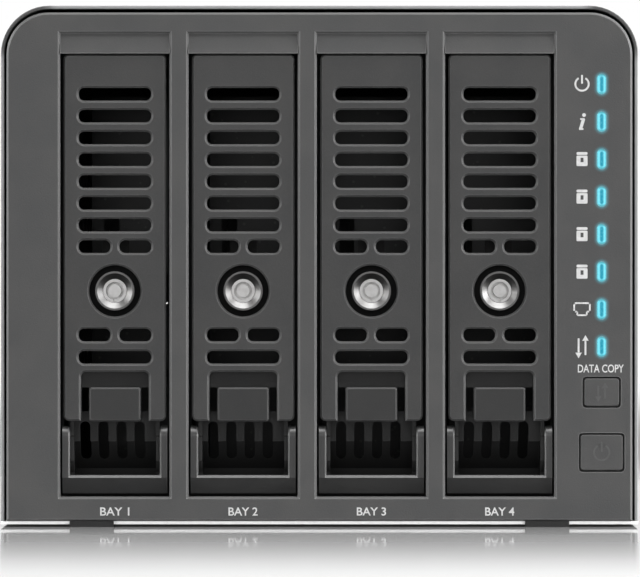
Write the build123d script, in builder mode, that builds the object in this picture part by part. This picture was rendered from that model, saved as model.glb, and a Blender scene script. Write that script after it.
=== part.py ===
"""Four-bay desktop network storage enclosure with lockable slide-out drive trays.

Millimetres. +Z is up, the front faces -Y and X runs to the right of someone facing it.
The origin is on the table, under the middle of the enclosure.
"""

import os

from build123d import *

os.makedirs("parts", exist_ok=True)

# ---------------------------------------------------------------- driving sizes
width = 214.0
height = 175.0
depth = 250.0
sheet = 1.2  # painted steel of the cover and the rear panel
base_sheet = 1.0  # zinc-plated base plate
foot_pad = 0.9  # rubber under the base plate
slide_gap = 0.2  # pieces that slide on each other
run_gap = 0.05  # radial clearance of pins and barrels

# Front bezel
bezel_side_gap = 0.8
bezel_top_gap = 1.2
bezel_wall = 2.5
bezel_skirt = 2.0
bezel_depth = 12.0
edge_break = 0.7
cover_radius = 16.5
cover_setback = 1.6

# Drive bays
bay_count = 4
bay_width = 36.7
bay_post = 6.35  # bezel face between two bays
bay_margin = 18.0  # bezel face left of the first bay
bay_sill = 8.2
bay_head = 9.4
collar_wall = 1.5
ledge_deep = 1.0
ledge_shallow = 0.1
ledge_height = 6.7

# Tray grille
grille_gap = 1.2
grille_setback = 0.6
grille_wall = 2.5
finger_room = 25.5  # bay height left open under the grille
grille_ledge_gap = 0.3
grille_edge = 0.65
grille_corner = 1.7
slot_length = 24.4
slot_height = 4.3
slot_corner = 1.9
slot_pitch = 7.32
slot_top_drop = 13.4
full_slots = 7
slot_bridge = 3.0
lock_rise = 69.1
lock_opening = 17.2
lower_split_drop = 14.8
lower_full_drop = 22.3
notch_width = 22.8
notch_height = 16.4

# Tray carrier
tray_length = 167.9
tray_inset = 0.65
tray_foot = 2.4
carrier_wall = 3.0
rail = 2.5
plate = 2.0
scoop_wall = 1.2
scoop_depth = 18.0
scoop_slot = 3.5
scoop_slot_length = 13.0
scoop_slot_drop = 7.4
scoop_slot_pitch = 6.1
scoop_slot_shift = -1.0
scoop_apron_drop = 7.6  # slotted apron hanging in front of the sloped back
drive_height = 26.1
drive_gap = 0.1
drive_hole_spacing_y = 44.45
drive_hole_spacing_z = 95.25
drive_hole_from_rear = 41.28
drive_hole_radius = 1.8

# Handle and release tab
handle_gap = 0.75
handle_lift = 1.1
arm_gap = 0.1
arm_width = 2.5
arm_depth = 7.0
bar_height = 6.1
bar_depth = 5.0
bar_lean = 2.4
bar_edge = 0.8
arm_edge = 0.5
handle_clear = 0.9
pivot_drop = 5.2
pin_radius = 1.0
tab_width = 17.2
tab_height = 11.4
tab_travel = 4.0
tab_edge = 0.5
tab_channel = 2.4  # clear slot in the tray beside the tab

# Lock
lock_radius = 6.55
lock_recess = 2.0
lock_neck = 5.9
barrel_radius = 3.95
keyway_outer = 3.0
keyway_inner = 2.15
cam_hold = 2.1
cam_clear = 2.0
cam_width = 9.0
cam_wall = 1.5

# Indicator strip
strip_inset = 10.3
led_count = 8
led_drop = 26.4
led_pitch = 12.59
led_width = 2.9
led_height = 6.5
button_gap = 0.6
button_travel = 0.8
power_size = (15.4, 13.1)
power_rise = 23.1
copy_size = (12.9, 10.5)
copy_rise = 43.3
board = 1.6

# Cage, rear and fan
cage_sheet = 1.0
cage_drop = 1.2
cage_foot = 8.0
air_slot = (22.0, 11.0)
air_slot_pitch = (30.0, 22.0)
backplane_low_gap = 2.1
backplane_high_gap = 10.0
air_window_x = 6.5
window_gap = 1.0
fan_size = 92.0
fan_depth = 25.0
fan_hole_spacing = 82.5
fan_x = -20.0
fan_z = 92.0
hub_radius = 17.0
blade_count = 7
inlet_size = (11.0, 9.6)
lan_size = (13.4, 16.2)
usb_size = (14.0, 14.6)
inlet_z = 24.0
lan_z = 52.0
usb_z = 84.0
cable_slot = (7.0, 3.0)
cable_slot_z = 112.0
port_gap = 0.3
port_proud = 0.6
board_inset = 9.0
screw_head = 1.8
screw_head_radius = 3.0
screw_radius = 1.5
screw_length = 6.0
flange_width = 8.6
guard_wire = 1.4

# ---------------------------------------------------------------- worked out
front = -depth / 2
rear = depth / 2
base_top = foot_pad + base_sheet
cover_front = front + cover_setback
cover_rear = rear - screw_head
panel_rear = cover_rear - sheet
panel_front = panel_rear - sheet
bezel_half = width / 2 - sheet - bezel_side_gap
bezel_top = height - sheet - bezel_top_gap
bezel_radius = cover_radius - sheet - bezel_top_gap
bezel_rear = front + bezel_depth
guard_rear = panel_rear + guard_wire / 2
board_front = front + 8.6

bay_bottom = base_top + bay_sill
bay_top = height - bay_head
bay_pitch = bay_width + bay_post
bay_x = [bay_margin - bezel_half + bay_width / 2 + n * bay_pitch for n in range(bay_count)]
bay_mid = (bay_bottom + bay_top) / 2
bay_height = bay_top - bay_bottom

grille_front = front + grille_setback
grille_rear = grille_front + grille_wall
grille_half = bay_width / 2 - grille_gap
grille_bottom = bay_bottom + finger_room
grille_top = bay_top - ledge_height - grille_ledge_gap
lock_height = bay_bottom + lock_rise

handle_half = bay_width / 2 - handle_gap
arm_inner = handle_half - arm_width
handle_bottom = bay_bottom + handle_lift
handle_top = handle_bottom + bar_height
pivot_y = grille_front + arm_depth / 2
pivot_height = grille_bottom - pivot_drop

tray_half = grille_half - tray_inset
carrier_front = grille_rear
carrier_back = carrier_front + carrier_wall
carrier_bottom = bay_bottom + tray_foot
carrier_top = grille_top - 0.5
tray_rear = carrier_front + tray_length
scoop_half = arm_inner - arm_gap - scoop_wall
scoop_top = grille_bottom + 0.6
scoop_rear = carrier_front + scoop_depth
drive_mid_z = (carrier_bottom + carrier_top) / 2
drive_left = -tray_half + plate + drive_gap
drive_mid_x = drive_left + drive_height / 2

stem_bottom = scoop_top + 2.9
stem_top = stem_bottom + 3.0
flange_top = stem_top + 1.5
tab_bottom = grille_bottom - 0.2
spring_ledge = flange_top + 8.5

cage_front = bezel_rear + slide_gap
window_width = 2 * (tray_half + window_gap)
cage_floor = bay_bottom - cage_drop
cage_top = carrier_top + 2.4
cage_left = bay_x[0] - bay_pitch / 2
cage_right = bay_x[-1] + bay_pitch / 2
cage_width = cage_right - cage_left + cage_sheet
cage_x = (cage_left + cage_right) / 2
backplane_y = tray_rear + 5.0
backplane_low = cage_floor + cage_sheet + backplane_low_gap
backplane_high = cage_top - cage_sheet - backplane_high_gap
standoff_spots = [
    (y, z) for y in (cage_front + 58, backplane_y - 9) for z in (cage_floor + 11, cage_top - 10)
]

cam_reach = tray_half + window_gap + cam_hold
cam_front = cage_front + cage_sheet + cam_clear
lock_front = front + 0.3
cylinder_rear = cam_front - slide_gap

strip_x = bezel_half - strip_inset
led_spots = [(strip_x, height - led_drop - n * led_pitch) for n in range(led_count)]
power_z = base_top + power_rise
copy_z = base_top + copy_rise
indicator_bottom = base_top + 11.0
indicator_top = height - 17.0

board_x = width / 2 - board_inset
lan_x = board_x - lan_size[0] / 2
usb_x = board_x - usb_size[0] / 2
inlet_x = board_x - inlet_size[0] / 2


def face_at(y):
    """Plane parallel to the front: its local x is X, its local y is Z, and it faces the viewer."""
    return Plane(origin=(0, y, 0), x_dir=(1, 0, 0), z_dir=(0, -1, 0))


def round_topped(half_width, bottom, top, radius):
    """Upright rectangle whose upper corners are rounded, on the local XY plane."""
    with BuildSketch() as outline:
        with Locations((0, (bottom + top) / 2)):
            Rectangle(2 * half_width, top - bottom)
        fillet(outline.vertices().group_by(Axis.Y)[-1], radius)
    return outline.sketch


def save(part, name, x=0.0):
    """Writes one finished piece, moved to its bay where it has one."""
    piece = part.moved(Location((x, 0, 0)))
    piece.label = name
    export_step(piece, f"parts/{name}.step")


cover_outline = round_topped(width / 2, base_top, height, cover_radius)
cover_hollow = round_topped(width / 2 - sheet, base_top - 5, height - sheet, cover_radius - sheet)
flange_hollow = round_topped(
    width / 2 - flange_width, base_top - 5, height - flange_width, cover_radius - flange_width
)
bezel_outline = round_topped(bezel_half, base_top, bezel_top, bezel_radius)
bezel_hollow = round_topped(
    bezel_half - bezel_skirt,
    base_top + bezel_skirt,
    bezel_top - bezel_skirt,
    bezel_radius - bezel_skirt,
)
panel_outline = round_topped(
    width / 2 - sheet - slide_gap, base_top, height - sheet - slide_gap, cover_radius - sheet - slide_gap
)

flange_middle = (flange_width + sheet) / 2
cover_screw_spots = [(side * 60.0, height - flange_middle) for side in (-1, 1)]
for screw_z in (40.0, height - 45.0):
    cover_screw_spots += [(side * (width / 2 - flange_middle), screw_z) for side in (-1, 1)]
fan_screw_spots = [
    (fan_x + i * fan_hole_spacing / 2, fan_z + k * fan_hole_spacing / 2) for i in (-1, 1) for k in (-1, 1)
]

# ---------------------------------------------------------------- shell
# Wrap-around cover: top and both sides from one sheet, with a return flange at the back.
with BuildPart() as cover:
    with BuildSketch(face_at(cover_front)):
        add(cover_outline)
        add(cover_hollow, mode=Mode.SUBTRACT)
    extrude(amount=cover_front - cover_rear)
    rim = cover.faces().sort_by(Axis.Y)[0].edges().filter_by(lambda e: e.length > 2 * sheet)
    fillet(rim, 0.35)
    with BuildSketch(face_at(panel_rear)):
        add(cover_outline)
        add(flange_hollow, mode=Mode.SUBTRACT)
    extrude(amount=-sheet)
    with BuildSketch(face_at(panel_rear)):
        with Locations(*cover_screw_spots):
            Circle(screw_radius + 0.1)
    extrude(amount=-sheet, mode=Mode.SUBTRACT)
save(cover.part, "cover")

# Base plate with turned-up sides and rows of vent slots.
with BuildPart() as base_plate:
    base_front = front + 0.7
    with BuildSketch(Plane.XY.offset(foot_pad)):
        with Locations((0, (base_front + cover_rear) / 2)):
            Rectangle(width, cover_rear - base_front)
    extrude(amount=base_sheet)
    lip_x = width / 2 - sheet - slide_gap - base_sheet / 2
    with BuildSketch(Plane.XY.offset(foot_pad)):
        with Locations((-lip_x, 0), (lip_x, 0)):
            Rectangle(base_sheet, depth - 60)
    extrude(amount=base_sheet + 8)
    with BuildSketch(Plane.XY.offset(foot_pad)):
        with GridLocations(9, 60, 16, 2):
            SlotOverall(40, 4, rotation=90)
    extrude(amount=base_sheet, mode=Mode.SUBTRACT)
save(base_plate.part, "base_plate")

# Rubber feet: a pad under the plate and a lip in front of its edge. The rear pair face backwards.
with BuildPart() as feet:
    foot_width, foot_length, lip = 14.8, 14.0, 0.7
    foot_x = width / 2 - 30.6
    for edge, side in ((front, 1), (cover_rear + lip, -1)):
        for x in (-foot_x, foot_x):
            with BuildSketch(Plane.YZ.offset(x - foot_width / 2)):
                with BuildLine():
                    Polyline(
                        (edge, 0),
                        (edge + side * foot_length, 0),
                        (edge + side * foot_length, foot_pad),
                        (edge + side * lip, foot_pad),
                        (edge + side * lip, base_top),
                        (edge, base_top),
                        close=True,
                    )
                make_face()
            extrude(amount=foot_width)
save(feet.part, "feet")

# Front bezel: a face with four collared bays, a slope above each bay, and the strip's holes.
with BuildPart() as front_bezel:
    with BuildSketch(face_at(front)):
        add(bezel_outline)
    extrude(amount=-bezel_depth)
    with BuildSketch(face_at(front + bezel_wall)):
        add(bezel_hollow)
    extrude(amount=bezel_wall - bezel_depth, mode=Mode.SUBTRACT)
    with BuildSketch(face_at(front + bezel_wall)):
        with Locations(*[(x, bay_mid) for x in bay_x]):
            Rectangle(bay_width + 2 * collar_wall, bay_height + 2 * collar_wall)
    extrude(amount=bezel_wall - bezel_depth)
    with BuildSketch(face_at(front)):
        with Locations(*[(x, bay_mid) for x in bay_x]):
            Rectangle(bay_width, bay_height)
    extrude(amount=-bezel_depth, mode=Mode.SUBTRACT)
    chamfer(front_bezel.faces().sort_by(Axis.Y)[0].edges(), edge_break)
    for x in bay_x:
        with BuildSketch(Plane.YZ.offset(x - bay_width / 2)):
            with BuildLine():
                Polyline(
                    (front + ledge_shallow, bay_top - ledge_height),
                    (front + ledge_deep, bay_top),
                    (bezel_rear, bay_top),
                    (bezel_rear, bay_top - ledge_height),
                    close=True,
                )
            make_face()
        extrude(amount=bay_width)
    with BuildSketch(face_at(front)):
        with Locations(*led_spots):
            SlotOverall(led_height + 0.2, led_width + 0.2, rotation=90)
        with Locations((strip_x, power_z)):
            RectangleRounded(*power_size, 1.3)
        with Locations((strip_x, copy_z)):
            RectangleRounded(*copy_size, 1.3)
    extrude(amount=-bezel_wall, mode=Mode.SUBTRACT)
    # Posts for the indicator board.
    with BuildSketch(face_at(front + bezel_wall)):
        with Locations((strip_x, indicator_bottom + 2.0), (strip_x, indicator_top - 2.0)):
            Circle(2.0)
    extrude(amount=front + bezel_wall - board_front)
save(front_bezel.part, "front_bezel")

# Rear panel: fan opening, port cut-outs, vent slots and a security-cable slot.
with BuildPart() as rear_panel:
    with BuildSketch(face_at(panel_front)):
        add(panel_outline)
    extrude(amount=-sheet)
    with BuildSketch(face_at(panel_front)):
        with Locations((fan_x, fan_z)):
            Circle(fan_size / 2 - 2.5)
        with Locations(*fan_screw_spots):
            Circle(screw_radius + 0.6)
        with Locations(*cover_screw_spots):
            Circle(screw_radius)
        ports = ((inlet_x, inlet_z, inlet_size), (lan_x, lan_z, lan_size), (usb_x, usb_z, usb_size))
        for x, z, size in ports:
            with Locations((x, z)):
                Rectangle(size[0] + 2 * port_gap, size[1] + 2 * port_gap)
        with Locations((lan_x, cable_slot_z)):
            Rectangle(*cable_slot)
        with Locations((fan_x, 24.0)):
            with GridLocations(6, 1, 20, 1):
                SlotOverall(24, 2.8, rotation=90)
        with Locations((55.0, fan_z)):
            with GridLocations(6, 32, 7, 3):
                SlotOverall(26, 2.8, rotation=90)
    extrude(amount=-sheet, mode=Mode.SUBTRACT)
save(rear_panel.part, "rear_panel")

# Screws, all alike: six hold the cover, four the fan and its guard, and four the mainboard.
with BuildPart() as screws:
    for seat, spots in (
        (face_at(cover_rear), cover_screw_spots),
        (face_at(guard_rear), fan_screw_spots),
        (Plane.YZ.offset(board_x + board), standoff_spots),
    ):
        out = 1 if seat.z_dir.X > 0 else -1
        with BuildSketch(seat):
            with Locations(*spots):
                Circle(screw_head_radius)
        extrude(amount=out * screw_head)
        with BuildSketch(seat):
            with Locations(*spots):
                Circle(screw_radius - run_gap)
        extrude(amount=-out * screw_length)
        with BuildSketch(seat.offset(out * (screw_head - 1.0))):
            with Locations(*spots):
                Rectangle(3.6, 0.8)
                Rectangle(0.8, 3.6)
        extrude(amount=out * 1.0, mode=Mode.SUBTRACT)
save(screws.part, "screws")

# ---------------------------------------------------------------- drive cage
bay_edges = [cage_left + bay_pitch * n for n in range(bay_count + 1)]
cage_back = backplane_y
wall_bottom = cage_floor + cage_sheet
wall_top = cage_top - cage_sheet
window_low = carrier_bottom - window_gap + slide_gap
window_high = carrier_top + window_gap - slide_gap

# Front frame: two rails and five uprights, whose edges the lock cams turn behind.
with BuildPart() as cage_rails:
    with BuildSketch(face_at(cage_front)):
        with Locations((cage_x, (cage_floor + window_low) / 2)):
            Rectangle(cage_width, window_low - cage_floor)
        with Locations((cage_x, (cage_top + window_high) / 2)):
            Rectangle(cage_width, cage_top - window_high)
    extrude(amount=-cage_sheet)

with BuildPart() as cage_uprights:
    upright = bay_pitch - window_width
    with BuildSketch(face_at(cage_front)):
        with Locations(*[(x, (window_low + window_high) / 2) for x in bay_edges[1:-1]]):
            Rectangle(upright, window_high - window_low)
        for edge_x, side in ((cage_left, 1), (cage_right, -1)):
            outer_width = (upright + cage_sheet) / 2
            with Locations((edge_x + side * (outer_width - cage_sheet) / 2, (window_low + window_high) / 2)):
                Rectangle(outer_width, window_high - window_low)
    extrude(amount=-cage_sheet)

# Top and bottom plates, and the walls and dividers between them.
with BuildPart() as cage_plates:
    with BuildSketch(face_at(cage_front + cage_sheet)):
        with Locations((cage_x, cage_floor + cage_sheet / 2), (cage_x, cage_top - cage_sheet / 2)):
            Rectangle(cage_width, cage_sheet)
    extrude(amount=cage_front + cage_sheet - cage_back)

with BuildPart() as cage_walls:
    with BuildSketch(face_at(cage_front + cage_sheet)):
        with Locations(*[(x, (wall_bottom + wall_top) / 2) for x in bay_edges]):
            Rectangle(cage_sheet, wall_top - wall_bottom)
    extrude(amount=cage_front + cage_sheet - cage_back)
    with BuildSketch(Plane.YZ.offset(cage_left - 1)):
        with Locations(((cage_front + cage_back) / 2, drive_mid_z)):
            with GridLocations(*air_slot_pitch, 5, 5):
                SlotOverall(*air_slot)
    extrude(amount=cage_width + 2, mode=Mode.SUBTRACT)

# Brackets that stand the cage on the base plate.
with BuildPart() as cage_brackets:
    with BuildSketch(face_at(cage_front + cage_sheet)):
        for wall_x, side in ((cage_left, -1), (cage_right, 1)):
            with Locations((wall_x, (base_top + cage_floor) / 2)):
                Rectangle(cage_sheet, cage_floor - base_top)
            with Locations((wall_x + side * cage_foot / 2, base_top + cage_sheet / 2)):
                Rectangle(cage_foot + cage_sheet, cage_sheet)
    extrude(amount=cage_front + cage_sheet - cage_back)

cage_pieces = (cage_rails, cage_uprights, cage_plates, cage_walls, cage_brackets)
drive_cage = Compound([solid for piece in cage_pieces for solid in piece.part.solids()])
save(drive_cage, "drive_cage")

# Hexagonal standoffs between the cage and the mainboard.
with BuildPart() as board_standoffs:
    with BuildSketch(Plane.YZ.offset(cage_right + cage_sheet / 2)):
        with Locations(*standoff_spots):
            RegularPolygon(3.2, 6)
    extrude(amount=board_x - cage_right - cage_sheet / 2)
    with BuildSketch(Plane.YZ.offset(board_x - 8)):
        with Locations(*standoff_spots):
            Circle(screw_radius)
    extrude(amount=8, mode=Mode.SUBTRACT)
save(board_standoffs.part, "board_standoffs")

# Runners: a channel under and over each tray.
with BuildPart() as bay_runners:
    runner_y = cage_front + cage_sheet + slide_gap
    channel = tray_half + 0.3
    for x in bay_x:
        for seat, rail_face, way in (
            (cage_floor + cage_sheet, carrier_bottom - slide_gap, 1),
            (cage_top - cage_sheet, carrier_top + slide_gap, -1),
        ):
            lip_end = rail_face + way * 3.0
            with BuildSketch(face_at(runner_y)):
                with Locations((x, (seat + lip_end) / 2)):
                    Rectangle(2 * channel + 3, abs(lip_end - seat))
                with Locations((x, (rail_face + lip_end) / 2)):
                    Rectangle(2 * channel, abs(lip_end - rail_face), mode=Mode.SUBTRACT)
            extrude(amount=runner_y - tray_rear)
save(bay_runners.part, "bay_runners")

# Backplane with one drive connector for each bay.
with BuildPart() as backplane_board:
    with BuildSketch(face_at(backplane_y)):
        with Locations((cage_x, (backplane_low + backplane_high) / 2)):
            Rectangle(cage_width - 6, backplane_high - backplane_low)
        with Locations(*[(x + air_window_x, lock_height) for x in bay_x]):
            SlotOverall(20, 12, mode=Mode.SUBTRACT)
        with Locations(*[(x + air_window_x, lock_height - 32) for x in bay_x]):
            SlotOverall(20, 5, mode=Mode.SUBTRACT)
    extrude(amount=-board)
save(backplane_board.part, "backplane_board")

with BuildPart() as drive_connectors:
    with BuildSketch(face_at(backplane_y - 4.2)):
        with Locations(*[(x + drive_mid_x - 6, drive_mid_z) for x in bay_x]):
            Rectangle(5.4, 42)
            Rectangle(1.6, 36, mode=Mode.SUBTRACT)
    extrude(amount=-4.2)
    with BuildSketch(face_at(backplane_y - 1.2)):
        with Locations(*[(x + drive_mid_x - 6, drive_mid_z) for x in bay_x]):
            Rectangle(5.4, 42)
    extrude(amount=-1.2)
save(drive_connectors.part, "drive_connectors")

# ---------------------------------------------------------------- drive tray, built at X = 0
with BuildPart() as tray_grille:
    with BuildSketch(face_at(grille_front)):
        with Locations((0, (grille_bottom + grille_top) / 2)):
            RectangleRounded(2 * grille_half, grille_top - grille_bottom, grille_corner)
        with Locations((0, grille_bottom + notch_height / 2 - 2)):
            RectangleRounded(notch_width, notch_height + 4, 1.7, mode=Mode.SUBTRACT)
    extrude(amount=-grille_wall)
    with BuildSketch(face_at(grille_front)):
        with Locations(*[(0, grille_top - slot_top_drop - n * slot_pitch) for n in range(full_slots)]):
            RectangleRounded(slot_length, slot_height, slot_corner)
        with Locations((0, lock_height - lower_full_drop)):
            RectangleRounded(slot_length, slot_height, slot_corner)
        half_slot = (slot_length - slot_bridge) / 2
        upper_split = grille_top - slot_top_drop - full_slots * slot_pitch + 0.1
        with Locations((0, upper_split), (0, lock_height - lower_split_drop)):
            with GridLocations(half_slot + slot_bridge, 1, 2, 1):
                RectangleRounded(half_slot, slot_height, slot_corner)
        with Locations((0, lock_height)):
            Circle(lock_opening / 2)
    extrude(amount=-grille_wall, mode=Mode.SUBTRACT)
    chamfer(tray_grille.faces().sort_by(Axis.Y)[0].edges(), grille_edge)

with BuildPart() as tray_carrier:
    # Front wall behind the grille.
    with BuildSketch(face_at(carrier_front)):
        with Locations((0, (scoop_top + carrier_top) / 2)):
            Rectangle(2 * tray_half, carrier_top - scoop_top)
        window_top = grille_top - slot_top_drop + slot_height
        window_low = lock_height + 11
        with Locations((0, (window_top + window_low) / 2)):
            Rectangle(slot_length + 1.4, window_top - window_low, mode=Mode.SUBTRACT)
        low_top, low_bottom = lock_height - 11, lock_height - lower_full_drop - slot_height / 2 - 0.4
        with Locations((0, (low_top + low_bottom) / 2)):
            Rectangle(slot_length + 1.4, low_top - low_bottom, mode=Mode.SUBTRACT)
    extrude(amount=-carrier_wall)
    # Finger scoop: side walls that carry the handle's pins, a floor behind the handle's bar,
    # and a sloped back behind a short apron, both with four slots.
    floor_y = grille_front + bar_depth + handle_clear
    with BuildSketch(Plane.YZ.offset(-scoop_half - scoop_wall)):
        with BuildLine():
            Polyline(
                (carrier_front, handle_top + handle_clear + 4),
                (floor_y, handle_top + handle_clear),
                (floor_y, carrier_bottom),
                (scoop_rear, carrier_bottom),
                (scoop_rear, carrier_bottom + 7),
                (carrier_back, scoop_top + 2.4),
                (carrier_front, scoop_top + 2.4),
                close=True,
            )
        make_face()
    extrude(amount=2 * (scoop_half + scoop_wall))
    with BuildSketch(Plane.YZ.offset(-scoop_half)):
        with BuildLine():
            Polyline(
                (carrier_front, carrier_bottom + 1.5),
                (scoop_rear - 1.5, carrier_bottom + 1.5),
                (scoop_rear - 1.5, carrier_bottom + 6.5),
                (carrier_back, scoop_top),
                (carrier_front, scoop_top),
                close=True,
            )
        make_face()
    extrude(amount=2 * scoop_half, mode=Mode.SUBTRACT)
    with BuildSketch(face_at(carrier_back)):
        with Locations((0, scoop_top - scoop_apron_drop / 2)):
            Rectangle(2 * scoop_half, scoop_apron_drop)
    extrude(amount=-scoop_wall)
    with BuildSketch(face_at(carrier_back)):
        with Locations((scoop_slot_shift, scoop_top - scoop_slot_drop)):
            with GridLocations(scoop_slot_pitch, 1, 4, 1):
                SlotOverall(scoop_slot_length, scoop_slot, rotation=90)
    extrude(amount=-scoop_depth, mode=Mode.SUBTRACT)
    # Rails and side plate.
    with BuildSketch(face_at(scoop_rear - 1.5)):
        with Locations((0, carrier_bottom + rail / 2)):
            Rectangle(2 * tray_half, rail)
    extrude(amount=scoop_rear - 1.5 - tray_rear)
    with BuildSketch(face_at(carrier_back)):
        with Locations((0, carrier_top - rail / 2)):
            Rectangle(2 * tray_half, rail)
    extrude(amount=carrier_back - tray_rear)
    with BuildSketch(Plane.YZ.offset(-tray_half)):
        with BuildLine():
            Polyline(
                (carrier_back, scoop_top + 4),
                (carrier_back, carrier_top),
                (tray_rear, carrier_top),
                (tray_rear, carrier_bottom),
                (scoop_rear, carrier_bottom),
                (scoop_rear, scoop_top + 4),
                close=True,
            )
        make_face()
        with Locations(((carrier_back + tray_rear) / 2, drive_mid_z)):
            with GridLocations(28, 16, 5, 5):
                SlotOverall(22, 8, mode=Mode.SUBTRACT)
    extrude(amount=plate)
    hole_y = tray_rear - drive_hole_from_rear - drive_hole_spacing_y / 2
    with BuildSketch(Plane.YZ.offset(-tray_half)):
        with Locations((hole_y, drive_mid_z)):
            with GridLocations(drive_hole_spacing_y, drive_hole_spacing_z, 2, 2):
                Circle(drive_hole_radius)
    extrude(amount=plate, mode=Mode.SUBTRACT)
    # Ledge for the release spring.
    with BuildSketch(face_at(carrier_back)):
        with Locations((0, spring_ledge + 0.6)):
            Rectangle(8, 1.2)
    extrude(amount=-5.5)
    # Lock seat and neck, stem slot, channels beside the tab, and pin holes.
    with BuildSketch(face_at(carrier_front)):
        with Locations((0, lock_height)):
            Circle(lock_opening / 2 + 0.3)
    extrude(amount=-lock_recess, mode=Mode.SUBTRACT)
    channel_x = (tab_width + tab_channel) / 2 + slide_gap
    with BuildSketch(face_at(carrier_front)):
        with Locations((0, lock_height)):
            Circle(lock_neck + run_gap)
        with Locations((0, (stem_bottom + stem_top + tab_travel) / 2)):
            Rectangle(9.6, stem_top + tab_travel - stem_bottom + 2 * slide_gap)
        with Locations((-channel_x, tab_bottom + tab_height / 2), (channel_x, tab_bottom + tab_height / 2)):
            Rectangle(tab_channel, tab_height)
    extrude(amount=-carrier_wall, mode=Mode.SUBTRACT)
    with BuildSketch(Plane.YZ.offset(-scoop_half - scoop_wall)):
        with Locations((pivot_y, pivot_height)):
            Circle(pin_radius + run_gap)
    extrude(amount=2 * (scoop_half + scoop_wall), mode=Mode.SUBTRACT)

# Swing handle: two round-topped arms and a bar whose face leans back towards its foot.
with BuildPart() as tray_handle:
    with BuildSketch(Plane.YZ.offset(-handle_half)):
        with Locations((pivot_y, pivot_height)):
            Circle(arm_depth / 2)
        with BuildLine():
            Polyline(
                (grille_front, pivot_height),
                (grille_front, handle_top - bar_edge),
                (grille_front + bar_lean, handle_bottom),
                (grille_front + bar_depth, handle_bottom),
                (grille_front + bar_depth, handle_top),
                (grille_front + arm_depth, handle_top + 4),
                (grille_front + arm_depth, pivot_height),
                close=True,
            )
        make_face()
    extrude(amount=2 * handle_half)
    # Room between the arms, which leaves a sloped upper edge on the bar.
    with BuildSketch(Plane.YZ.offset(-arm_inner)):
        with BuildLine():
            Polyline(
                (grille_front - 1, handle_top - bar_edge - 1),
                (grille_front + bar_edge, handle_top),
                (grille_front + arm_depth + 1, handle_top),
                (grille_front + arm_depth + 1, pivot_height + arm_depth),
                (grille_front - 1, pivot_height + arm_depth),
                close=True,
            )
        make_face()
    extrude(amount=2 * arm_inner, mode=Mode.SUBTRACT)
    front_edges = tray_handle.edges().filter_by(Axis.Z).group_by(Axis.Y)[0]
    chamfer(front_edges.sort_by(Axis.X)[1:-1], arm_edge)
    with BuildSketch(Plane.YZ.offset(-handle_half)):
        with Locations((pivot_y, pivot_height)):
            Circle(pin_radius + run_gap)
    extrude(amount=2 * handle_half, mode=Mode.SUBTRACT)

with BuildPart() as handle_pins:
    for start in (-handle_half, scoop_half):
        with BuildSketch(Plane.YZ.offset(start)):
            with Locations((pivot_y, pivot_height)):
                Circle(pin_radius)
        extrude(amount=handle_half - scoop_half)

# Release tab: a thumb plate in the grille's notch, a stem and a sprung rear flange.
with BuildPart() as release_tab:
    tab_front = grille_front + 0.2
    with BuildSketch(face_at(tab_front)):
        with Locations((0, tab_bottom + tab_height / 2)):
            RectangleRounded(tab_width, tab_height, 0.8)
    extrude(amount=tab_front - carrier_front + slide_gap)
    chamfer(release_tab.faces().sort_by(Axis.Y)[0].edges(), tab_edge)
    with BuildSketch(face_at(carrier_front - slide_gap)):
        with Locations((0, (stem_bottom + stem_top) / 2)):
            Rectangle(9, stem_top - stem_bottom)
    extrude(amount=-(carrier_wall + 2 * slide_gap))
    with BuildSketch(face_at(carrier_back + slide_gap)):
        with Locations((0, (stem_bottom + flange_top) / 2)):
            Rectangle(13, flange_top - stem_bottom)
    extrude(amount=-5.0)

spring_wire = 0.5
with BuildPart() as release_spring:
    spring_foot = flange_top + spring_wire
    with BuildLine() as coil:
        Helix(
            pitch=1.5,
            height=spring_ledge - flange_top - 2 * spring_wire,
            radius=1.8,
            center=(0, carrier_back + 2.8, spring_foot),
        )
    with BuildSketch(Plane(origin=coil.line @ 0, z_dir=coil.line % 0)):
        Circle(spring_wire / 2)
    sweep(path=coil.line)

# Lock: fixed cylinder with a dished face, turning barrel with a tubular keyway, and its cam.
with BuildPart() as lock_cylinder:
    with BuildSketch(face_at(lock_front)):
        with Locations((0, lock_height)):
            Circle(lock_radius)
    extrude(amount=lock_front - carrier_front - lock_recess)
    with BuildSketch(face_at(carrier_front + lock_recess)):
        with Locations((0, lock_height)):
            Circle(lock_neck)
    extrude(amount=carrier_front + lock_recess - cylinder_rear)
    with BuildSketch(face_at(lock_front)):
        with Locations((0, lock_height)):
            Circle(barrel_radius + run_gap)
    extrude(amount=lock_front - cylinder_rear, mode=Mode.SUBTRACT)
    mouth = lock_cylinder.faces().sort_by(Axis.Y)[0].edges().sort_by(SortBy.RADIUS)[0]
    chamfer(mouth, 1.9, 1.2)

with BuildPart() as lock_nut:
    with BuildSketch(face_at(carrier_back)):
        with Locations((0, lock_height)):
            RegularPolygon(9.0, 6)
            Circle(lock_neck, mode=Mode.SUBTRACT)
    extrude(amount=-2.5)

with BuildPart() as lock_barrel:
    barrel_front = lock_front + 1.1
    with BuildSketch(face_at(barrel_front)):
        with Locations((0, lock_height)):
            Circle(barrel_radius)
    extrude(amount=barrel_front - cam_front)
    with BuildSketch(face_at(cam_front)):
        with Locations((0, lock_height)):
            Circle(2.5)
    extrude(amount=-(cam_wall + 0.9))
    with BuildSketch(face_at(barrel_front)):
        with Locations((0, lock_height)):
            Circle(keyway_outer)
            Circle(keyway_inner, mode=Mode.SUBTRACT)
        with Locations((0, lock_height - keyway_outer)):
            Rectangle(0.9, 1.2)
    extrude(amount=-5.0, mode=Mode.SUBTRACT)

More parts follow.
